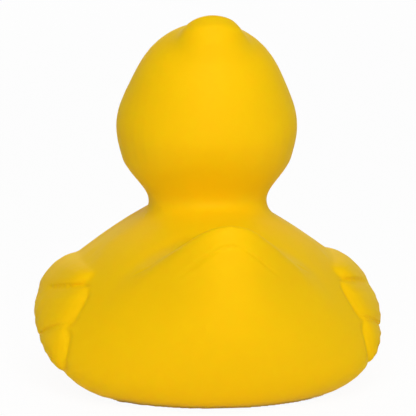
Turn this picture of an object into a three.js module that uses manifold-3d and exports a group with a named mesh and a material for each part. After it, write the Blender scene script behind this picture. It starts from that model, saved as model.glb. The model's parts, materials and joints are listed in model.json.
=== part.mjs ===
// Squeaky bath duck: a hollow moulded duck with a press-in squeaker in its flat base.
// Millimetres, +Z up. The duck faces -Y and its tail is at +Y. The origin is on the table
// plane, under the middle of the duck's length and width.
import * as THREE from 'three';
import { mergeVertices } from 'three/addons/utils/BufferGeometryUtils.js';
import Module from 'manifold-3d';

// Hull, as plan outlines going up: height, half width, y of the widest place, y of the rear
// end, y of the front end, and the power of the outline (2 is an ellipse, less is pointed).
const hullSections = [
  [0, 26.8, 13.5, 30.6, -25.5, 1.45],
  [5, 33.1, 12.5, 34.5, -32.5, 1.48],
  [12, 37.5, 1, 37.8, -37, 1.5],
  [20, 39.1, -10, 39.8, -38.5, 1.37],
  [30, 39.3, -18, 40.2, -37.5, 1.26],
  [42, 38.4, -20, 40, -35.5, 1.26],
];
const ridgeRound = 6.5;
const flankRound = 2;
const baseRound = 6.5;

// Back, as a crowned deck from chest to tail: y, height on the centre line, how much of it is
// the narrow tail, the rounding where it meets the hull, and the depth of the rim's bevel.
const backLine = [
  [-41, 19, 0, 14, -6],
  [-36, 28, 0, 14, -6],
  [-28, 35.5, 0, 14, -6],
  [-14, 41.1, 0, 14, -6],
  [0, 41.7, 0, 14, -6],
  [9, 40.4, 0, 13, -6],
  [16, 38.4, 0, 11, -3],
  [20, 37, 0.2, 9, -1],
  [24, 36.8, 0.5, 7, 0.4],
  [28, 37.8, 1, 5.5, 0.9],
  [32, 39.4, 2.4, 5, 1.2],
  [36, 41.2, 4, 4.5, 1.4],
  [39, 42.4, 5.2, 4, 1.4],
];
const backFall = 0.88;
const backRound = 17.5;
const tailWidth = 12.5;
const chestSlope = 1.8;
const tipSlope = 0.4;
const bevelTilt = 16;
const bevelBlend = 1;

// Head: cheeks, crown and tuft as y, z, half width, half length, half height.
const cheeks = [-4.5, 56.9, 20.2, 19, 17];
const crown = [-2, 63.3, 17.1, 17.3, 17.1];
const tuft = [6.2, 77.2, 7.2, 6.2, 5.9];
const crownBlend = 4;
const tuftBlend = 4.5;

// Throat, going up from the shoulders into the cheeks: z, y, half width, half length.
const throatLine = [
  [36, -2.6, 12.6, 12.4],
  [41, -2.8, 13, 12.9],
  [50, -4.5, 18.4, 16.6],
];
const throatTop = 50;
const throatBlend = 4;
const throatSlope = 0.85;
const neckFold = 4.5;

// Beak, from its root in the head to the tip: y, z, half width, half height.
const upperBill = [
  [-18, 54.4, 8.4, 3.6],
  [-24, 54.9, 9.1, 3.1],
  [-28, 55.4, 9.2, 2.5],
  [-31.4, 56, 8.3, 1.9],
  [-33.7, 56.4, 6.4, 1.4],
  [-35, 56.6, 3.4, 0.8],
  [-35.4, 56.7, 0, 0],
];
const lowerBill = [
  [-18, 51.6, 7, 2.8],
  [-24, 51.9, 7.6, 2.4],
  [-27.5, 52.3, 7.2, 1.9],
  [-30, 52.7, 5.8, 1.4],
  [-31.4, 53, 3.2, 0.8],
  [-31.8, 53.1, 0, 0],
];

// Eyes: x, z of the centre, half width, half height, and how far the lens stands out.
const eye = [8.6, 64, 2.9, 3.9, 0.7];

// Wings: three feathers with a narrow groove between them. Each has a lower and an upper edge
// in side view (y, z) from front to rear, how far its rear end is bowed out, and its rise
// above the flank at the front and rear.
const feathers = [
  {
    rise: [1.4, 1.9],
    bow: 0.2,
    lower: [[-29.5, 16.4], [-26, 15.6], [-20, 17.2], [-15, 18.4], [-8.5, 19.9], [-2, 21.5],
      [4.3, 22.9], [8.2, 24.1]],
    upper: [[-30, 18.8], [-27.5, 21.8], [-24, 24.6], [-18, 26.7], [-12, 27.3], [-4, 27.5],
      [3, 27.5], [9, 26.8]],
  },
  {
    rise: [1.3, 1.8],
    bow: 1.6,
    lower: [[-26, 11.6], [-21, 8.6], [-15, 8.7], [-9, 9.6], [-3, 10.9], [3, 12.5], [7.5, 14.1],
      [11.8, 15.6]],
    upper: [[-27, 14.5], [-21.5, 16.8], [-15, 18.2], [-8.5, 19.7], [-2, 21.3], [3.5, 22.6],
      [7.5, 23.5], [10.6, 23.8]],
  },
  {
    rise: [1.3, 1.6],
    bow: 2.2,
    lower: [[-20.5, 5.6], [-16, 4.5], [-11, 4], [-5, 3.7], [1, 3.8], [7, 4.6], [10.5, 5.4],
      [13.2, 6.4]],
    upper: [[-21, 7.3], [-15.5, 8.3], [-10, 9.2], [-4, 10.4], [2, 12], [6.5, 13.6], [9.5, 14.7],
      [12, 15.3]],
  },
];
const featherEdge = 0.5;
const sideSharp = 6;
const endSharp = 16;
const bowSharp = 8;
const featherLength = 16;
const featherAcross = 6;
const featherInside = 12;

// Wall of the moulding, and the thicker floor round the squeaker.
const wall = 1.8;
const floor = 2.4;

// Squeaker, pressed into a stepped round hole in the floor.
const squeakerY = 2;
const holeRadius = 7;
const recessRadius = 9.8;
const recessDepth = 1.1;
const pressGap = 0.05;
const flangeGap = 0.2;
const flangeThick = 0.8;
const lipRadius = 7.7;
const lipHeight = 1.3;
const cupRadius = 6.4;
const cupWall = 1.2;
const cupFloor = 1.4;
const cupHeight = 9.5;
const soundHole = 1.6;
const reedShelf = 5;
const shelfWidth = 1;
const reedThick = 0.6;
const reedSlot = 0.9;
const roundSides = 32;
const rayStep = 0.5;

const wasm = await Module();
wasm.setup();

const rad = THREE.MathUtils.degToRad;

// A monotone curve through table rows [at, value, value, ...], flat beyond both ends.
function tableCurve(rows) {
  const at = rows.map((row) => row[0]);
  const columns = rows[0].length - 1;
  const slopes = [];
  for (let c = 1; c <= columns; c++) {
    const rise = at.slice(1).map((x, i) => (rows[i + 1][c] - rows[i][c]) / (x - at[i]));
    slopes.push(at.map((x, i) => {
      if (i === 0) return rise[0];
      if (i === at.length - 1) return rise[i - 1];
      if (rise[i - 1] * rise[i] <= 0) return 0;
      const before = x - at[i - 1];
      const after = at[i + 1] - x;
      const a = 2 * after + before;
      const b = after + 2 * before;
      return (a + b) / (a / rise[i - 1] + b / rise[i]);
    }));
  }
  return (x) => {
    let i = 0;
    while (i < at.length - 2 && x > at[i + 1]) i++;
    const span = at[i + 1] - at[i];
    const t = THREE.MathUtils.clamp((x - at[i]) / span, 0, 1);
    const values = [];
    for (let c = 1; c <= columns; c++) {
      const start = slopes[c - 1][i] * span;
      const end = slopes[c - 1][i + 1] * span;
      values.push((1 + 2 * t) * (1 - t) ** 2 * rows[i][c] + t * (1 - t) ** 2 * start
        + t * t * (3 - 2 * t) * rows[i + 1][c] + t * t * (t - 1) * end);
    }
    return values;
  };
}

// Forms are functions of a point that are below zero inside, in about millimetres.
function ellipsoid([cy, cz, halfX, halfY, halfZ]) {
  return (x, y, z) => {
    const v = y - cy;
    const w = z - cz;
    const k = Math.hypot(x / halfX, v / halfY, w / halfZ);
    const slope = Math.hypot(x / halfX ** 2, v / halfY ** 2, w / halfZ ** 2);
    return slope < 1e-9 ? -Math.min(halfX, halfY, halfZ) : k * (k - 1) / slope;
  };
}

function join(a, b, blend) {
  const h = Math.max(blend - Math.abs(a - b), 0) / blend;
  return Math.min(a, b) - h ** 3 * blend / 6;
}

function common(a, b, blend) {
  return -join(-a, -b, blend);
}

const hullAt = tableCurve(hullSections);
const backAt = tableCurve(backLine);
const throatAt = tableCurve(throatLine);
const [firstBack] = backLine;
const lastBack = backLine[backLine.length - 1];

const eased = (size, round) => Math.hypot(size, round) - round;

function hullForm(x, y, z) {
  const [width, widest, rear, front, power] = hullAt(z);
  const along = y - widest;
  const reach = along > 0 ? rear - widest : widest - front;
  const across = eased(x, ridgeRound) / eased(width, ridgeRound);
  const length = eased(along, flankRound) / eased(reach, flankRound);
  const k = (across ** power + length ** power) ** (1 / power);
  return k < 1e-6 ? -width : Math.max(Math.hypot(x, along) * (1 - 1 / k), -width);
}

function backForm(x, y, z) {
  const [height, tail] = backAt(y);
  const beyond = Math.max(firstBack[0] - y, 0) * chestSlope - Math.max(y - lastBack[0], 0) * tipSlope;
  const across = Math.hypot(x, backRound);
  const narrow = Math.exp(-((x / tailWidth) ** 2));
  const fall = backFall * (across - backRound) + tail * (1 - narrow);
  const slope = backFall * x / across + 2 * tail * x / tailWidth ** 2 * narrow;
  return (z - height + beyond + fall) / Math.hypot(1, slope);
}

const headForms = [ellipsoid(cheeks), ellipsoid(crown), ellipsoid(tuft)];

function throatForm(x, y, z) {
  const [middle, halfWidth, halfLength] = throatAt(z);
  const side = Math.hypot(x, (y - middle) * halfWidth / halfLength) - halfWidth;
  return common(side * throatSlope, z - throatTop, throatBlend);
}

function headForm(x, y, z) {
  const [c, d, e] = headForms.map((form) => form(x, y, z));
  return join(join(join(c, d, crownBlend), e, tuftBlend), throatForm(x, y, z), throatBlend);
}

// The hull cut by the back, and the tail's rim bevelled along its rear edge.
function torsoForm(x, y, z) {
  const [, , edge, bevel] = backAt(y);
  const hull = hullForm(x, y, z);
  const back = backForm(x, y, z);
  const rim = hull * Math.cos(rad(bevelTilt)) + back * Math.sin(rad(bevelTilt)) + bevel;
  return common(common(hull, back, edge), rim, bevelBlend);
}

function duckForm(x, y, z) {
  return common(join(torsoForm(x, y, z), headForm(x, y, z), neckFold), -z, baseRound);
}

// Inside of the moulding: the same form one wall further in, above the floor.
function hollowForm(x, y, z) {
  const shell = join(torsoForm(x, y, z) + wall, headForm(x, y, z) + wall, neckFold);
  return common(shell, floor - z, baseRound);
}

// How far along a ray a form goes from below zero to above it.
function reachOf(at, start) {
  let near = start;
  let far = start + rayStep;
  while (at(far) < 0) {
    near = far;
    far += rayStep;
  }
  for (let n = 0; n < 24; n++) {
    const mid = (near + far) / 2;
    if (at(mid) < 0) near = mid;
    else far = mid;
  }
  return near;
}

// Skins a form with rings of rays. Each station on the spine has y, z, the way its back ray
// points, its tilt towards the next station, and the number of rings up to that station.
function skin(form, stations, columns) {
  const rows = [];
  stations.forEach((from, i) => {
    const to = stations[i + 1] || from;
    for (let k = 0; k < Math.max(from[4], 1); k++) {
      const t = from[4] ? k / from[4] : 0;
      rows.push(from.slice(0, 4).map((v, n) => THREE.MathUtils.lerp(v, to[n], t)));
    }
  });
  const points = [];
  const faces = [];
  const rings = rows.map(([cy, cz, turn, tilt]) => {
    const pole = Math.abs(tilt) > 89.9;
    const ring = [];
    for (let j = 0; j < (pole ? 1 : columns); j++) {
      const turned = 2 * Math.PI * j / columns;
      const round = turned - cornerDense * Math.sin(3 * turned);
      const out = pole ? 0 : Math.cos(rad(tilt));
      const along = Math.sin(rad(tilt));
      const dx = out * Math.sin(round);
      const dy = out * Math.cos(round) * Math.cos(rad(turn)) - along * Math.sin(rad(turn));
      const dz = out * Math.cos(round) * Math.sin(rad(turn)) + along * Math.cos(rad(turn));
      const near = reachOf((t) => form(dx * t, cy + dy * t, cz + dz * t), 0);
      ring.push(points.length / 3);
      points.push(dx * near, cy + dy * near, cz + dz * near);
    }
    return ring;
  });
  stitch(rings, columns, faces);
  return solidOf(points, faces);
}

// Joins each ring of points to the next; a ring of one point is a pole.
function stitch(rings, columns, faces, flip = false) {
  rings.slice(1).forEach((ring, i) => {
    const last = rings[i];
    for (let j = 0; j < columns; j++) {
      const k = (j + 1) % columns;
      const [a, b] = [last[j % last.length], last[k % last.length]];
      const [c, d] = [ring[j % ring.length], ring[k % ring.length]];
      if (a !== b) faces.push(a, ...(flip ? [b, d] : [d, b]));
      if (c !== d) faces.push(a, ...(flip ? [d, c] : [c, d]));
    }
  });
}

function solidOf(points, faces) {
  return new wasm.Manifold(new wasm.Mesh({
    numProp: 3,
    vertProperties: new Float32Array(points),
    triVerts: new Uint32Array(faces),
  }));
}

function solidFrom(geometry) {
  const plain = geometry.toNonIndexed();
  plain.deleteAttribute('normal');
  plain.deleteAttribute('uv');
  const merged = mergeVertices(plain, 1e-4);
  return solidOf(merged.attributes.position.array, merged.index.array);
}

function geometryFrom(solid) {
  const mesh = solid.getMesh();
  const geometry = new THREE.BufferGeometry();
  geometry.setAttribute('position', new THREE.BufferAttribute(mesh.vertProperties, 3));
  geometry.setIndex(new THREE.BufferAttribute(mesh.triVerts, 1));
  geometry.computeVertexNormals();
  return geometry;
}

// Steps from 0 to 1 that are closer together at both ends.
function endSteps(count) {
  return Array.from({ length: count + 1 }, (_, i) => (1 - Math.cos(Math.PI * i / count)) / 2);
}

// One feather: a pillowed plate on the flank, side 1 for +X and -1 for -X, as sections from
// its front end to its rear end. Its underside is inside the body.
function featherSolid({ rise, bow, lower, upper }, side) {
  const [low, high] = [lower, upper].map((edge) =>
    new THREE.CatmullRomCurve3(edge.map(([y, z]) => new THREE.Vector3(0, y, z))));
  const points = [];
  const faces = [];
  const add = (x, p) => points.push(side * x, p.y, p.z) / 3 - 1;
  const sections = endSteps(featherLength).map((u) => {
    const [from, to] = [low.getPoint(u), high.getPoint(u)];
    const top = THREE.MathUtils.lerp(rise[0], rise[1], u);
    const section = endSteps(featherAcross).map((v) => {
      const p = from.clone().lerp(to, v);
      p.y += bow * 4 * v * (1 - v) * u ** bowSharp;
      const full = (1 - Math.abs(2 * v - 1) ** sideSharp) * (1 - Math.abs(2 * u - 1) ** endSharp);
      const lift = THREE.MathUtils.lerp(featherEdge, top, full);
      return add(reachOf((x) => duckForm(x, p.y, p.z) - lift, featherInside), p);
    });
    return [...section, add(featherInside, to), add(featherInside, from)];
  });
  const ends = [sections[0], sections[featherLength]].map((section) => {
    const corner = (i) => new THREE.Vector3().fromArray(points, 3 * section[i]);
    const middle = corner(featherAcross / 2).add(corner(featherAcross + 1)).add(corner(featherAcross + 2));
    return points.push(...middle.divideScalar(3)) / 3 - 1;
  });
  stitch([[ends[0]], ...sections, [ends[1]]], sections[0].length, faces, side < 0);
  return solidOf(points, faces);
}

// One half of the beak: oval sections along a smooth run of stations, closed at both ends.
function billSolid(stations) {
  const columns = 24;
  const ends = stations.map(([y, z]) => new THREE.Vector3(0, y, z));
  const sizes = stations.map(([, , w, h]) => new THREE.Vector3(w, h, 0));
  const line = new THREE.CatmullRomCurve3(ends, false, 'centripetal');
  const size = new THREE.CatmullRomCurve3(sizes, false, 'centripetal');
  const steps = 2 * (stations.length - 1);
  const points = [0, stations[0][0], stations[0][1]];
  const faces = [];
  const rings = [[0]];
  for (let i = 0; i < steps; i++) {
    const at = line.getPoint(i / steps);
    const half = size.getPoint(i / steps);
    rings.push([]);
    for (let j = 0; j < columns; j++) {
      const round = 2 * Math.PI * j / columns;
      rings[i + 1].push(points.length / 3);
      points.push(half.x * Math.cos(round), at.y, at.z + half.y * Math.sin(round));
    }
  }
  const tip = stations[stations.length - 1];
  rings.push([points.length / 3]);
  points.push(0, tip[0], tip[1]);
  stitch(rings, columns, faces, true);
  return solidOf(points, faces);
}

function eyeSolid(side) {
  const [fromMiddle, z, halfWidth, halfHeight, proud] = eye;
  const x = side * fromMiddle;
  let y = -10;
  while (headForm(x, y, z) < 0) y -= 0.01;
  const step = 0.01;
  const slope = (dx, dy, dz) => headForm(x + dx, y + dy, z + dz) - headForm(x - dx, y - dy, z - dz);
  const normal = new THREE.Vector3(slope(step, 0, 0), slope(0, step, 0), slope(0, 0, step)).normalize();
  const lens = new THREE.SphereGeometry(1, 20, 12);
  lens.scale(halfWidth, 2 * proud, halfHeight);
  lens.translate(0, proud, 0);
  lens.applyQuaternion(new THREE.Quaternion().setFromUnitVectors(new THREE.Vector3(0, -1, 0), normal));
  lens.translate(x, y, z);
  return solidFrom(lens);
}

function plug(radius, from, to) {
  const tool = new THREE.CylinderGeometry(radius, radius, to - from, roundSides);
  tool.rotateX(Math.PI / 2);
  tool.translate(0, squeakerY, (from + to) / 2);
  return solidFrom(tool);
}

// Spine from the tail tip through the body and up to the crown.
const spine = [
  [34, 36, 112, -90, 9],
  [34, 36, 112, 0, 11],
  [24, 22, 92, 0, 11],
  [10, 17, 66, 0, 8],
  [-2, 24, 42, 0, 6],
  [-2.5, 35, 16, 0, 4],
  [-3, 40, 4, 0, 7],
  [-3.5, 47, 0, 0, 4],
  [-4, 56, 0, 0, 4],
  [-3, 62, 0, 0, 10],
  [-3, 62, 0, 90, 0],
];
const bodyColumns = 52;
const cornerDense = 0.11;
const hollowSpine = [
  [28, 28, 120, -90, 3],
  [28, 28, 120, 0, 3],
  [20, 22, 90, 0, 3],
  [8, 18, 62, 0, 3],
  [-2, 24, 44, 0, 2],
  [-3, 36, 26, 0, 3],
  [-3, 44, 14, 0, 2],
  [-4, 55, 0, 0, 2],
  [-3, 62, 0, 0, 4],
  [-3, 62, 0, 90, 0],
];

const hollowColumns = 22;

function bodySolid() {
  let body = skin(duckForm, spine, bodyColumns).add(billSolid(upperBill)).add(billSolid(lowerBill));
  for (const side of [1, -1]) {
    body = body.add(eyeSolid(side));
    for (const feather of feathers) body = body.add(featherSolid(feather, side));
  }
  return body.subtract(skin(hollowForm, hollowSpine, hollowColumns))
    .subtract(plug(holeRadius, -1, floor + 1))
    .subtract(plug(recessRadius, -1, recessDepth));
}

const body = geometryFrom(bodySolid());
body.computeBoundingBox();
const middleY = (body.boundingBox.min.y + body.boundingBox.max.y) / 2;

function lathe(profile) {
  const geometry = new THREE.LatheGeometry(profile.map(([r, z]) => new THREE.Vector2(r, z)), roundSides);
  geometry.rotateX(Math.PI / 2);
  geometry.rotateZ(Math.PI / 2);
  return geometryFrom(solidFrom(geometry));
}

// Housing: flange in the recess, neck through the floor, lip behind it, and a cup with a
// shelf for the reed.
const flangeBottom = recessDepth - pressGap - flangeThick;
const flangeTop = recessDepth - pressGap;
const cupInside = cupRadius - cupWall;
const housing = lathe([
  [soundHole, flangeBottom],
  [recessRadius - flangeGap, flangeBottom],
  [recessRadius - flangeGap, flangeTop],
  [holeRadius - pressGap, flangeTop],
  [holeRadius - pressGap, floor + pressGap],
  [lipRadius, floor + pressGap],
  [cupRadius, floor + lipHeight],
  [cupRadius, cupHeight],
  [cupInside, cupHeight],
  [cupInside, reedShelf],
  [cupInside - shelfWidth, reedShelf],
  [cupInside - shelfWidth, flangeBottom + cupFloor],
  [soundHole, flangeBottom + cupFloor],
  [soundHole, flangeBottom],
]);
const reed = lathe([
  [reedSlot, reedShelf + pressGap],
  [cupInside - pressGap, reedShelf + pressGap],
  [cupInside - pressGap, reedShelf + pressGap + reedThick],
  [reedSlot, reedShelf + pressGap + reedThick],
  [reedSlot, reedShelf + pressGap],
]);

const yellowVinyl = new THREE.MeshStandardMaterial({ color: 0xf7c81e, roughness: 0.5, metalness: 0 });
const whitePlastic = new THREE.MeshStandardMaterial({ color: 0xf0eee8, roughness: 0.4, metalness: 0 });
const clearFilm = new THREE.MeshStandardMaterial({ color: 0xd9dde0, roughness: 0.3, metalness: 0 });

function piece(name, geometry, material, y) {
  const mesh = new THREE.Mesh(geometry, material);
  mesh.name = name;
  mesh.position.y = y;
  return mesh;
}

const duck = new THREE.Group();
duck.name = 'duck';
duck.add(
  piece('duck_body', body, yellowVinyl, -middleY),
  piece('squeaker_housing', housing, whitePlastic, squeakerY - middleY),
  piece('squeaker_reed', reed, clearFilm, squeakerY - middleY),
);

export default duck;
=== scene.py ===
# Squeaky bath duck, seen from behind: one hollow vinyl moulding with painted beak and eyes,
# and a press-in squeaker in its base.
import json
import math

import bpy
import numpy as np
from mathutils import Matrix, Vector

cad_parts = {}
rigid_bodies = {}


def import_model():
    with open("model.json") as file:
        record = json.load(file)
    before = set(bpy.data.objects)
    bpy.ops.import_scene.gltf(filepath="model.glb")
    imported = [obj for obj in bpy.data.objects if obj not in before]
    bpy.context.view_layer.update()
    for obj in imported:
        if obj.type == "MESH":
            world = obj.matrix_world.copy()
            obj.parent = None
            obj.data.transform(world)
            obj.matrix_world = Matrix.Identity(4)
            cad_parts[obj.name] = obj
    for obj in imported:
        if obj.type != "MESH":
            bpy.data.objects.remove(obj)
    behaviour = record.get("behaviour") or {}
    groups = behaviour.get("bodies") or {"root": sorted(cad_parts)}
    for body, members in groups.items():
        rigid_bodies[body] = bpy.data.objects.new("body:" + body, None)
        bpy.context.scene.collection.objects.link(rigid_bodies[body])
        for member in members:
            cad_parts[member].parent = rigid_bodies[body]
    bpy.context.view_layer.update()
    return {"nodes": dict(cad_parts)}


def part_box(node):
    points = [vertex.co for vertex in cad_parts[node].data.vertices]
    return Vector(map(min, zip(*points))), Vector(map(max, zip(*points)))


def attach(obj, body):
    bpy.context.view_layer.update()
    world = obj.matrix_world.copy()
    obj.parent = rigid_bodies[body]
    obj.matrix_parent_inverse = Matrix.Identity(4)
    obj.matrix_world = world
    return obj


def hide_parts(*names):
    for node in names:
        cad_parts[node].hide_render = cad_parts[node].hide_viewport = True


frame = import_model()
print("frame loaded", sorted(frame["nodes"]))

scene = bpy.context.scene
scene.view_settings.view_transform = "Standard"
mm = 1000  # millimetres in a metre


def deselectAll():
    if bpy.context.object and bpy.context.object.mode != "OBJECT":
        bpy.ops.object.mode_set(mode="OBJECT")
    bpy.ops.object.select_all(action="DESELECT")


def makeActive(thing):
    deselectAll()
    thing.select_set(True)
    bpy.context.view_layer.objects.active = thing


def selectWhere(thing, domain, test):
    # Selects the vertices, edges or faces of the object in edit mode that pass the test.
    bpy.ops.mesh.select_all(action="DESELECT")
    bpy.ops.object.mode_set(mode="OBJECT")
    for part in getattr(thing.data, domain):
        part.select = test(part)
    bpy.ops.object.mode_set(mode="EDIT")


def applyModifier(thing, kind, **settings):
    makeActive(thing)
    modifier = thing.modifiers.new(kind.title(), kind)
    for name, value in settings.items():
        setattr(modifier, name, value)
    bpy.ops.object.modifier_apply(modifier=modifier.name)


def meshPoints(thing):
    points = np.empty(len(thing.data.vertices) * 3)
    thing.data.vertices.foreach_get("co", points)
    return points.reshape(-1, 3)


def meshNormals(thing):
    normals = np.empty(len(thing.data.vertices) * 3, np.float32)
    thing.data.vertex_normals.foreach_get("vector", normals)
    return normals.reshape(-1, 3).astype(float)


def movePoints(thing, points):
    thing.data.vertices.foreach_set("co", points.ravel())
    thing.data.update()


# Camera at the photograph's angle: behind the duck, a little to its left and above. Its turn
# and rise are in degrees, and its shift is in pixels of the picture.
cameraView = {
    "target": (0.0, -0.0052, 0.045),
    "turn": 6.7,
    "rise": 9.0,
    "distance": 0.8,
    "lens": 311.1,
    "shift": (1.0, -28.8),
    "pictureSize": 416,
}

turn = math.radians(cameraView["turn"])
rise = math.radians(cameraView["rise"])
backward = Vector((math.sin(turn) * math.cos(rise), math.cos(turn) * math.cos(rise), math.sin(rise)))
cameraData = bpy.data.cameras.new("photoCamera")
cameraData.lens = cameraView["lens"]
cameraData.shift_x = cameraView["shift"][0] / cameraView["pictureSize"]
cameraData.shift_y = cameraView["shift"][1] / cameraView["pictureSize"]
camera = bpy.data.objects.new("photoCamera", cameraData)
camera.location = Vector(cameraView["target"]) + backward * cameraView["distance"]
camera.rotation_euler = backward.to_track_quat("Z", "Y").to_euler()
scene.collection.objects.link(camera)
scene.camera = camera
print("camera placed")


# A socket with arithmetic: a sum or product of values adds its own Math nodes.
class Wire:
    def __init__(self, tree, socket=None):
        self.tree = tree
        self.socket = socket

    def node(self, kind, settings, sockets, output=0):
        made = self.tree.nodes.new(kind)
        for name, value in settings.items():
            setattr(made, name, value)
        for name, value in sockets.items():
            if isinstance(value, Wire):
                self.tree.links.new(value.socket, made.inputs[name])
            else:
                made.inputs[name].default_value = value
        return Wire(self.tree, made.outputs[output])

    def maths(self, operation, *values):
        return self.node("ShaderNodeMath", {"operation": operation}, dict(enumerate(values)))

    def __add__(self, other):
        return self.maths("ADD", self, other)

    def __sub__(self, other):
        return self.maths("SUBTRACT", self, other)

    def __rsub__(self, other):
        return self.maths("SUBTRACT", other, self)

    def __mul__(self, other):
        return self.maths("MULTIPLY", self, other)

    def __pow__(self, other):
        return self.maths("POWER", self, other)

    __radd__ = __add__
    __rmul__ = __mul__


def newMaterial(name):
    material = bpy.data.materials.new(name)
    material.use_nodes = True
    tree = material.node_tree
    surface = tree.nodes["Principled BSDF"]
    return material, tree, surface


def objectSpot(tree):
    # The Object coordinates in metres, as one vector.
    return Wire(tree).node("ShaderNodeTexCoord", {}, {}, "Object")


def parted(spot):
    return [spot.node("ShaderNodeSeparateXYZ", {}, {"Vector": spot}, axis) for axis in "XYZ"]


def noise(spot, scale, detail):
    return spot.node("ShaderNodeTexNoise", {}, {"Vector": spot, "Scale": scale, "Detail": detail})


def mixed(mask, low, high):
    # Two colours, in sockets 6 and 7, the second where the mask is 1. Output 2 is the mix.
    return mask.node("ShaderNodeMix", {"data_type": "RGBA"}, {"Factor": mask, 6: low, 7: high}, 2)


# Duck vinyl: satin yellow, with the orange beak and the black eyes painted on it. Places and
# sizes are in metres: an eye's half width and half height, and the offset and radius of the white dot
# printed in each eye, a painted highlight.
vinyl = {
    "yellow": (0.90, 0.545, 0.003, 1.0),
    "deepYellow": (0.88, 0.525, 0.002, 1.0),
    "orange": (0.80, 0.16, 0.010, 1.0),
    "black": (0.012, 0.011, 0.010, 1.0),
    "white": (0.85, 0.85, 0.83, 1.0),
    "cloudScale": 55.0,
    "cloudDetail": 3.0,
    "grainScale": 900.0,
    "grainDetail": 4.0,
    "roughness": 0.46,
    "cloudRoughness": 0.06,
    "grainRoughness": 0.06,
    "bumpStrength": 0.25,
    "bumpDistance": 0.00012,
    "scatter": 0.5,
    "scatterReach": (1.0, 0.55, 0.2),
    "scatterScale": 0.0015,
    "specular": 0.03,
    "eyeCoat": 0.5,
    "beakCoat": 0.25,
    "coatRoughness": 0.1,
    "eyeMiddle": (0.0086, 0.0640),
    "eyeHalf": (0.0029, 0.0039),
    "eyeFront": -0.013,
    "paintedHighlight": (0.0010, 0.0016, 0.0009),
    "beakMiddle": 0.0542,
    "beakHalf": (0.0098, 0.0056),
    "beakFront": -0.017,
}


def insideOval(across, up, halfAcross, halfUp):
    # 1 inside the oval of these half sizes, and 0 outside.
    oval = (across * (1 / halfAcross)) ** 2 + (up * (1 / halfUp)) ** 2
    return oval.maths("LESS_THAN", oval, 1.0)


def vinylMaterial():
    material, tree, surface = newMaterial("duckVinyl")
    spot = objectSpot(tree)
    x, y, z = parted(spot)
    side = x.maths("ABSOLUTE", x)
    face = y.maths("LESS_THAN", y, vinyl["eyeFront"])
    beakSide = y.maths("LESS_THAN", y, vinyl["beakFront"])

    eyeX, eyeZ = vinyl["eyeMiddle"]
    # A white dot printed in each eye, up and inward of its middle: a painted highlight.
    paintedHighlightX, paintedHighlightZ, paintedHighlightHalf = vinyl["paintedHighlight"]
    eyeMask = insideOval(side - eyeX, z - eyeZ, *vinyl["eyeHalf"]) * face
    paintedHighlightMask = insideOval(side - (eyeX - paintedHighlightX), z - (eyeZ + paintedHighlightZ), paintedHighlightHalf, paintedHighlightHalf) * face
    beakMask = insideOval(x, z - vinyl["beakMiddle"], *vinyl["beakHalf"]) * beakSide

    cloud = noise(spot, vinyl["cloudScale"], vinyl["cloudDetail"])
    grain = noise(spot, vinyl["grainScale"], vinyl["grainDetail"])
    colour = mixed(cloud, vinyl["deepYellow"], vinyl["yellow"])
    colour = mixed(beakMask, colour, vinyl["orange"])
    colour = mixed(eyeMask, colour, vinyl["black"])
    # The white of the painted highlight, printed in each eye.
    colour = mixed(paintedHighlightMask, colour, vinyl["white"])
    tree.links.new(colour.socket, surface.inputs["Base Color"])

    rough = vinyl["roughness"] + vinyl["cloudRoughness"] * cloud + vinyl["grainRoughness"] * grain
    tree.links.new(rough.socket, surface.inputs["Roughness"])
    shine = eyeMask.maths("MAXIMUM", vinyl["eyeCoat"] * eyeMask, vinyl["beakCoat"] * beakMask)
    tree.links.new(shine.socket, surface.inputs["Coat Weight"])
    surface.inputs["Coat Roughness"].default_value = vinyl["coatRoughness"]
    height = {"Strength": vinyl["bumpStrength"], "Distance": vinyl["bumpDistance"], "Height": grain}
    bump = grain.node("ShaderNodeBump", {}, height)
    tree.links.new(bump.socket, surface.inputs["Normal"])
    surface.subsurface_method = "RANDOM_WALK"
    surface.inputs["Subsurface Weight"].default_value = vinyl["scatter"]
    surface.inputs["Subsurface Radius"].default_value = vinyl["scatterReach"]
    surface.inputs["Subsurface Scale"].default_value = vinyl["scatterScale"]
    surface.inputs["Specular IOR Level"].default_value = vinyl["specular"]
    return material


# Duck skin: a copy of the moulding, remeshed to even quads and smoothed, so that the facets
# go. Lengths are in metres, but the box round the feathers' ends is in millimetres, with x
# counted from the middle: inside it the skin is smoothed less.
skin = {
    "mergeDistance": 0.000002,
    "recessRadius": 0.0098,
    "rimHeight": 0.00002,
    "rimReach": 0.00012,
    "hollowDrop": 0.002,
    "voxel": 0.00055,
    "smoothFactor": 0.5,
    "smoothTimes": 5,
    "calmTimes": 13,
    "crispFrom": (26.0, -4.0, 4.0),
    "crispTo": (41.0, 16.0, 34.0),
    "crispBlend": 2.0,
    "baseHeight": 0.0003,
    "creaseAngle": 50,
}

# The fold under the head in millimetres: at the rear the head swells a little, and the neck
# leans in below it down to the deepest height, and comes out again at the foot. It grows as
# the skin turns to the rear, between the two shares in facing.
neckFold = {
    "heights": (39.0, 41.0, 46.5, 51.0, 55.0, 59.5, 64.0),
    "depths": (0.0, 1.3, 0.2, -0.7, -0.9, -0.35, 0.0),
    "facing": (0.3, 0.9),
    "leastLevel": 0.001,
    "rearTo": 18.0,
}

wingFrom = 12.0  # the wings lie further out than this, in millimetres
tailFrom = 15.0  # and the tail further back than this

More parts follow.
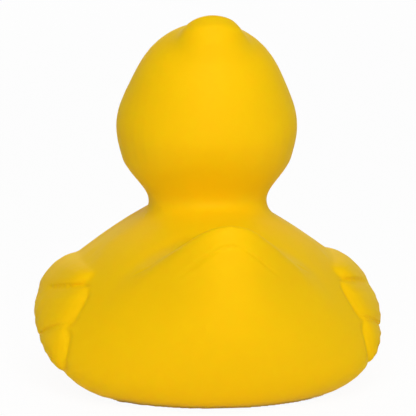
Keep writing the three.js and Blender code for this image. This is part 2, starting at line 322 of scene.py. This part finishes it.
# The lower two feathers thin out towards their rear ends. Each has its lower and upper edge in
# side view, from front to rear, and how far its end is bowed out, all in millimetres.
featherEnds = {
    "feathers": [
        {
            "lower": [(-9.0, 9.6), (-3.0, 10.9), (3.0, 12.5), (7.5, 14.1), (11.8, 15.6)],
            "upper": [(-8.5, 19.7), (-2.0, 21.3), (3.5, 22.6), (7.5, 23.5), (10.6, 23.8)],
            "bow": 1.6,
        },
        {
            "lower": [(-11.0, 4.0), (-5.0, 3.7), (1.0, 3.8), (7.0, 4.6), (13.2, 6.4)],
            "upper": [(-10.0, 9.2), (-4.0, 10.4), (2.0, 12.0), (6.5, 13.6), (12.0, 15.3)],
            "bow": 2.2,
        },
    ],
    "bowSharp": 8,
    "edgeSharp": 6,
    "depth": 1.05,
    "ramp": 1.9,
    "decay": 3.2,
    "reach": 16.0,
}

# Strokes in millimetres, the same on both sides. The fills close the broad gaps between the
# feathers, the grooves draw them again as fine lines, and the rest shapes the shoulder and the
# tail's rim. Each has the coordinates that its points give, where it may act, the points, how
# deep it goes in or how far it lifts the skin, its width, and the shares at its start and its
# end over which it fades.
strokes = {
    "upperFill": {
        "axes": "yz",
        "beyond": ("x", wingFrom),
        "points": [(-28.2, 15.2), (-22.2, 16.95), (-16.2, 18.3), (-9.7, 19.8), (-3.2, 21.4), (2.8, 22.8)],
        "depth": -0.38,
        "width": 1.0,
        "fade": (0.1, 0.3),
    },
    "lowerFill": {
        "axes": "yz",
        "beyond": ("x", wingFrom),
        "points": [(-21.7, 8.0), (-16.2, 8.55), (-10.7, 9.45), (-4.7, 10.7), (1.3, 12.25), (5.8, 13.9)],
        "depth": -0.55,
        "width": 1.0,
        "fade": (0.1, 0.3),
    },
    "upperGroove": {
        "axes": "yz",
        "beyond": ("x", wingFrom),
        "points": [(-6.2, 21.0), (-3.2, 21.9), (2.8, 23.3), (7.2, 24.1), (11.0, 24.5)],
        "depth": 0.22,
        "width": 0.24,
        "fade": (0.45, 0.2),
    },
    "lowerGroove": {
        "axes": "yz",
        "beyond": ("x", wingFrom),
        "points": [(-6.2, 10.3), (-4.7, 10.7), (1.3, 12.4), (5.8, 14.3), (11.7, 16.9)],
        "depth": 0.26,
        "width": 0.26,
        "fade": (0.35, 0.15),
    },
    "shoulderHollow": {
        "axes": "yz",
        "beyond": ("x", wingFrom),
        "points": [(-7.0, 29.6), (-1.0, 29.4), (5.0, 28.4)],
        "depth": 0.3,
        "width": 1.6,
        "fade": (0.4, 0.4),
    },
    "tailShoulder": {
        "axes": "xyz",
        "beyond": ("y", tailFrom),
        "points": [(1.0, 36.8, 41.6), (4.0, 36.0, 40.7), (6.0, 35.0, 39.3), (8.0, 33.5, 37.8),
                   (10.0, 31.0, 35.9), (12.0, 29.5, 34.2), (14.0, 26.5, 32.6)],
        "lift": 0.5,
        "width": 2.4,
        "fade": (0.35, 0.35),
    },
    "tailEdge": {
        "axes": "xyz",
        "beyond": ("y", tailFrom),
        "points": [(0.0, 36.7, 41.8), (2.0, 36.2, 41.5), (4.0, 35.6, 40.9), (6.0, 34.6, 39.6),
                   (8.0, 33.1, 38.1), (10.0, 30.6, 36.3), (12.0, 29.0, 34.6), (14.0, 26.1, 32.9),
                   (16.0, 24.0, 31.0), (18.0, 21.6, 29.3), (20.0, 20.0, 27.9)],
        "depth": 0.24,
        "width": 0.35,
        "fade": (0.0, 0.15),
    },
    "tailArc": {
        "axes": "xz",
        "beyond": ("y", tailFrom),
        "points": [(0.0, 37.6), (2.7, 36.9), (5.8, 34.7), (9.0, 31.8), (12.7, 28.5)],
        "depth": 0.27,
        "width": 0.45,
        "fade": (0.0, 0.5),
    },
}

# Faces near a stroke thinner than thinWidth are cut finer, as far as reach from it.
fineStrokes = {
    "thinWidth": 0.9,
    "reach": 1.0,
    "cuts": 2,
}


def squeakerMiddle():
    low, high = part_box("squeaker_housing")
    return (low.y + high.y) / 2


def closeRim(thing, drop=0.0):
    # Closes the open ring in the base, after pulling it down by the drop.
    makeActive(thing)
    bpy.ops.object.mode_set(mode="EDIT")
    bpy.ops.mesh.select_mode(type="EDGE")
    bpy.ops.mesh.select_all(action="DESELECT")
    bpy.ops.mesh.select_non_manifold()
    if drop:
        bpy.ops.mesh.extrude_region_move(TRANSFORM_OT_translate={"value": (0, 0, -drop)})
    bpy.ops.mesh.edge_face_add()
    bpy.ops.mesh.select_all(action="SELECT")
    bpy.ops.mesh.normals_make_consistent(inside=False)
    bpy.ops.object.mode_set(mode="OBJECT")


def mouldingCopy():
    # The outside and the hollow of the moulding as two closed shapes.
    duck = bpy.data.objects.new("duckSkin", frame["nodes"]["duck_body"].data.copy())
    scene.collection.objects.link(duck)
    duck.data.materials.clear()
    makeActive(duck)
    bpy.ops.object.mode_set(mode="EDIT")
    bpy.ops.mesh.select_all(action="SELECT")
    bpy.ops.mesh.remove_doubles(threshold=skin["mergeDistance"])
    bpy.ops.object.mode_set(mode="OBJECT")

    # The edge where the base meets the squeaker's recess parts the outside from the inside.
    points = meshPoints(duck)
    out = np.hypot(points[:, 0], points[:, 1] - squeakerMiddle()) - skin["recessRadius"]
    rim = (points[:, 2] < skin["rimHeight"]) & (abs(out) < skin["rimReach"])
    top = int(points[:, 2].argmax())
    bpy.ops.object.mode_set(mode="EDIT")
    selectWhere(duck, "edges", lambda edge: all(rim[index] for index in edge.vertices))
    bpy.ops.mesh.mark_seam()
    bpy.ops.mesh.select_mode(type="FACE")
    selectWhere(duck, "polygons", lambda face: top in face.vertices)
    bpy.ops.mesh.select_linked(delimit={"SEAM"})
    bpy.ops.mesh.select_all(action="INVERT")
    bpy.ops.mesh.separate(type="SELECTED")
    bpy.ops.object.mode_set(mode="OBJECT")
    hollow = [thing for thing in bpy.context.selected_objects if thing is not duck][0]
    hollow.name = "duckHollow"
    closeRim(duck)
    closeRim(hollow, drop=skin["hollowDrop"])
    return duck, hollow


def eased(share):
    share = np.clip(share, 0, 1)
    return share * share * (3 - 2 * share)


def foldNeck(duck):
    points = meshPoints(duck) * mm
    normals = meshNormals(duck)
    level = np.hypot(normals[:, 0], normals[:, 1])
    rearward = normals[:, 1] / np.maximum(level, neckFold["leastLevel"])
    least, most = neckFold["facing"]
    depth = np.interp(points[:, 2], neckFold["heights"], neckFold["depths"])
    depth *= eased((rearward - least) / (most - least)) * (points[:, 1] < neckFold["rearTo"])
    points[:, 1] -= depth
    movePoints(duck, points / mm)


def thinFeathers(duck):
    points = meshPoints(duck) * mm
    y = points[:, 1]
    z = points[:, 2]
    for feather in featherEnds["feathers"]:
        lower = np.array(feather["lower"])
        upper = np.array(feather["upper"])
        low = np.interp(y, *lower.T)
        high = np.interp(y, *upper.T)
        # From -1 at the feather's lower edge to 1 at its upper edge.
        across = 2 * (z - low) / (high - low) - 1
        within = np.clip(1 - abs(across) ** featherEnds["edgeSharp"], 0, 1)
        bow = feather["bow"] * np.clip(1 - abs(across) ** featherEnds["bowSharp"], 0, 1)
        end = lower[-1, 0] + (upper[-1, 0] - lower[-1, 0]) * (across + 1) / 2 + bow
        ahead = end - y
        depth = featherEnds["depth"] * within * np.clip(ahead / featherEnds["ramp"], 0, 1)
        depth *= np.exp(-np.maximum(ahead, 0) / featherEnds["decay"]) * (ahead < featherEnds["reach"])
        depth *= abs(points[:, 0]) > wingFrom
        points[:, 0] -= np.sign(points[:, 0]) * depth
    movePoints(duck, points / mm)


def smoothCalm(duck):
    # Smooths on everywhere but round the feathers' ends, so that their steps stay crisp.
    points = meshPoints(duck) * mm
    points[:, 0] = abs(points[:, 0])
    outside = np.maximum(skin["crispFrom"] - points, points - skin["crispTo"]).max(axis=1)
    calm = np.clip(outside / skin["crispBlend"] + 1, 0, 1)
    group = duck.vertex_groups.new(name="calm")
    for index in np.nonzero(calm)[0]:
        group.add([int(index)], float(calm[index]), "REPLACE")
    factor = skin["smoothFactor"]
    applyModifier(duck, "SMOOTH", factor=factor, iterations=skin["calmTimes"], vertex_group="calm")
    duck.vertex_groups.clear()


def strokeReach(points, stroke):
    # For each point of the mesh in millimetres, its distance to the stroke and its strength there.
    places = {"x": abs(points[:, 0]), "y": points[:, 1], "z": points[:, 2]}
    spots = np.stack([places[axis] for axis in stroke["axes"]], 1)
    line = np.array(stroke["points"])
    lengths = np.linalg.norm(line[1:] - line[:-1], axis=1)
    starts = np.concatenate([[0.0], lengths.cumsum()])
    best = np.full(len(points), np.inf)
    along = np.zeros(len(points))
    for a, b, start, length in zip(line[:-1], line[1:], starts, lengths):
        share = np.clip(((spots - a) @ (b - a)) / length ** 2, 0, 1)
        away = np.linalg.norm(spots - a - share[:, None] * (b - a), axis=1)
        closer = away < best
        best[closer] = away[closer]
        along[closer] = (start + share[closer] * length) / starts[-1]
    axis, least = stroke["beyond"]
    strength = np.where(places[axis] > least, 1.0, 0.0)
    for share, fade in zip((along, 1 - along), stroke["fade"]):
        if fade:
            strength *= eased(share / fade)
    return best, strength


def carveStrokes(duck):
    # Finer faces along the thin strokes first, and then each stroke moves the skin.
    points = meshPoints(duck) * mm
    fine = np.zeros(len(points), bool)
    for stroke in strokes.values():
        if stroke["width"] < fineStrokes["thinWidth"]:
            away, strength = strokeReach(points, stroke)
            fine |= (away < fineStrokes["reach"]) & (strength > 0)
    makeActive(duck)
    bpy.ops.object.mode_set(mode="EDIT")
    bpy.ops.mesh.select_mode(type="FACE")
    selectWhere(duck, "polygons", lambda face: all(fine[index] for index in face.vertices))
    bpy.ops.mesh.subdivide(number_cuts=fineStrokes["cuts"], smoothness=0)
    bpy.ops.object.mode_set(mode="OBJECT")
    points = meshPoints(duck) * mm
    normals = meshNormals(duck)
    moves = np.zeros(points.shape)
    for stroke in strokes.values():
        away, strength = strokeReach(points, stroke)
        share = (strength * np.exp(-(away / stroke["width"]) ** 2))[:, None]
        lift = np.array([0, 0, stroke.get("lift", 0.0)])
        moves += share * (lift - stroke.get("depth", 0.0) * normals)
    movePoints(duck, (points + moves) / mm)


def duckSkin():
    duck, hollow = mouldingCopy()
    duck.data.remesh_voxel_size = skin["voxel"]
    duck.data.use_remesh_fix_poles = True
    duck.data.use_remesh_preserve_volume = True
    makeActive(duck)
    bpy.ops.object.voxel_remesh()
    foldNeck(duck)
    thinFeathers(duck)
    applyModifier(duck, "SMOOTH", factor=skin["smoothFactor"], iterations=skin["smoothTimes"])
    smoothCalm(duck)
    print("duck skin remeshed", len(duck.data.polygons))
    carveStrokes(duck)
    print("duck skin carved", len(duck.data.polygons))

    # The base is flat, and the hollow and the squeaker's hole are cut out of the skin.
    points = meshPoints(duck)
    points[:, 2] = np.where(points[:, 2] < skin["baseHeight"], 0.0, points[:, 2])
    movePoints(duck, points)
    applyModifier(duck, "BOOLEAN", operation="DIFFERENCE", object=hollow, solver="MANIFOLD")
    bpy.data.objects.remove(hollow)
    makeActive(duck)
    bpy.ops.object.shade_smooth_by_angle(angle=math.radians(skin["creaseAngle"]))
    duck.data.materials.clear()
    duck.data.materials.append(vinylMaterial())
    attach(duck, "root")
    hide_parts("duck_body")
    duck.data.calc_loop_triangles()
    print("duck skin done", len(duck.data.loop_triangles), "triangles")


duckSkin()


# Squeaker: plain white plastic with a fine moulded grain, and a clear springy reed.
squeaker = {
    "white": (0.78, 0.77, 0.74, 1.0),
    "greyWhite": (0.72, 0.71, 0.68, 1.0),
    "whiteRoughness": 0.38,
    "film": (0.62, 0.66, 0.68, 1.0),
    "greyFilm": (0.52, 0.56, 0.58, 1.0),
    "filmRoughness": 0.22,
    "grainScale": 700.0,
    "grainDetail": 3.0,
    "grainRoughness": 0.08,
    "bumpStrength": 0.3,
    "bumpDistance": 0.0001,
}


def plasticMaterial(name, light, dark, rough):
    material, tree, surface = newMaterial(name)
    grain = noise(objectSpot(tree), squeaker["grainScale"], squeaker["grainDetail"])
    tree.links.new(mixed(grain, dark, light).socket, surface.inputs["Base Color"])
    tree.links.new((rough + squeaker["grainRoughness"] * grain).socket, surface.inputs["Roughness"])
    height = {"Strength": squeaker["bumpStrength"], "Distance": squeaker["bumpDistance"], "Height": grain}
    bump = grain.node("ShaderNodeBump", {}, height)
    tree.links.new(bump.socket, surface.inputs["Normal"])
    return material


def dressNode(node, material):
    materials = frame["nodes"][node].data.materials
    if len(materials):
        materials[0] = material
    else:
        materials.append(material)


housingPlastic = plasticMaterial(
    "housingPlastic", squeaker["white"], squeaker["greyWhite"], squeaker["whiteRoughness"])
reedFilm = plasticMaterial("reedFilm", squeaker["film"], squeaker["greyFilm"], squeaker["filmRoughness"])
dressNode("squeaker_housing", housingPlastic)
dressNode("squeaker_reed", reedFilm)
print("squeaker dressed")


# Studio: a pale floor that keeps a faint shadow, a white surround and soft lamps.
studio = {
    "floorSize": 6.0,
    "floorGap": 0.0001,
    "floorColour": (0.94, 0.94, 0.94, 1.0),
    "floorRoughness": 0.9,
    "floorGlow": 0.94,
    "white": (1.0, 1.0, 1.0, 1.0),
    "worldLight": 0.20,
    "lampTarget": (0.0, 0.0, 0.04),
}

# Each lamp's place in metres, its size across, its power in watts, and whether it gives a sheen.
lamps = {
    "keySoftbox": {"place": (0.02, 1.10, 1.25), "size": 1.1, "power": 14.2, "sheen": True},
    "lowSoftbox": {"place": (0.05, 1.60, 0.45), "size": 0.8, "power": 9.0, "sheen": True},
    "topSoftbox": {"place": (0.00, 0.10, 1.65), "size": 1.0, "power": 2.6, "sheen": True},
    "faceSoftbox": {"place": (0.00, -1.60, 0.50), "size": 0.8, "power": 9.0, "sheen": False},
}


def seenDirectly(start):
    # 1 for what the camera, a mirror or a clear thing shows, and 0 for light on the object.
    path = start.node("ShaderNodeLightPath", {}, {}, "Is Camera Ray")
    glossy = Wire(path.tree, path.socket.node.outputs["Is Glossy Ray"])
    through = Wire(path.tree, path.socket.node.outputs["Is Transmission Ray"])
    return path.maths("MINIMUM", path + glossy + through, 1.0)


def layFloor():
    bpy.ops.mesh.primitive_plane_add(size=studio["floorSize"], location=(0, 0, -studio["floorGap"]))
    floor = bpy.context.object
    floor.name = "studioFloor"
    material, tree, surface = newMaterial("paleFloor")
    surface.inputs["Base Color"].default_value = studio["floorColour"]
    surface.inputs["Roughness"].default_value = studio["floorRoughness"]
    surface.inputs["Specular IOR Level"].default_value = 0.0
    start = Wire(tree)
    matt = Wire(tree, surface.outputs[0])
    glow = start.node("ShaderNodeEmission", {}, {"Color": studio["white"], "Strength": 1.0})
    share = seenDirectly(start) * studio["floorGlow"]
    shader = start.node("ShaderNodeMixShader", {}, {0: share, 1: matt, 2: glow})

    # Seen from below, the floor is clear, so that the base shows.
    under = start.node("ShaderNodeNewGeometry", {}, {}, "Backfacing")
    clear = start.node("ShaderNodeBsdfTransparent", {}, {})
    shader = start.node("ShaderNodeMixShader", {}, {0: under, 1: shader, 2: clear})
    tree.links.new(shader.socket, tree.nodes["Material Output"].inputs["Surface"])
    floor.data.materials.append(material)


def surroundWhite():
    world = bpy.data.worlds.new("whiteSurround")
    world.use_nodes = True
    scene.world = world
    seen = seenDirectly(Wire(world.node_tree))
    strength = seen + (1 - seen) * studio["worldLight"]
    background = world.node_tree.nodes["Background"]
    background.inputs["Color"].default_value = studio["white"]
    world.node_tree.links.new(strength.socket, background.inputs["Strength"])


def hangLamps():
    for name, lamp in lamps.items():
        lampData = bpy.data.lights.new(name, "AREA")
        lampData.energy = lamp["power"]
        lampData.size = lamp["size"]
        softbox = bpy.data.objects.new(name, lampData)
        softbox.location = lamp["place"]
        softbox.visible_glossy = lamp["sheen"]
        away = softbox.location - Vector(studio["lampTarget"])
        softbox.rotation_euler = away.to_track_quat("Z", "Y").to_euler()
        scene.collection.objects.link(softbox)


layFloor()
surroundWhite()
hangLamps()
print("studio lit")
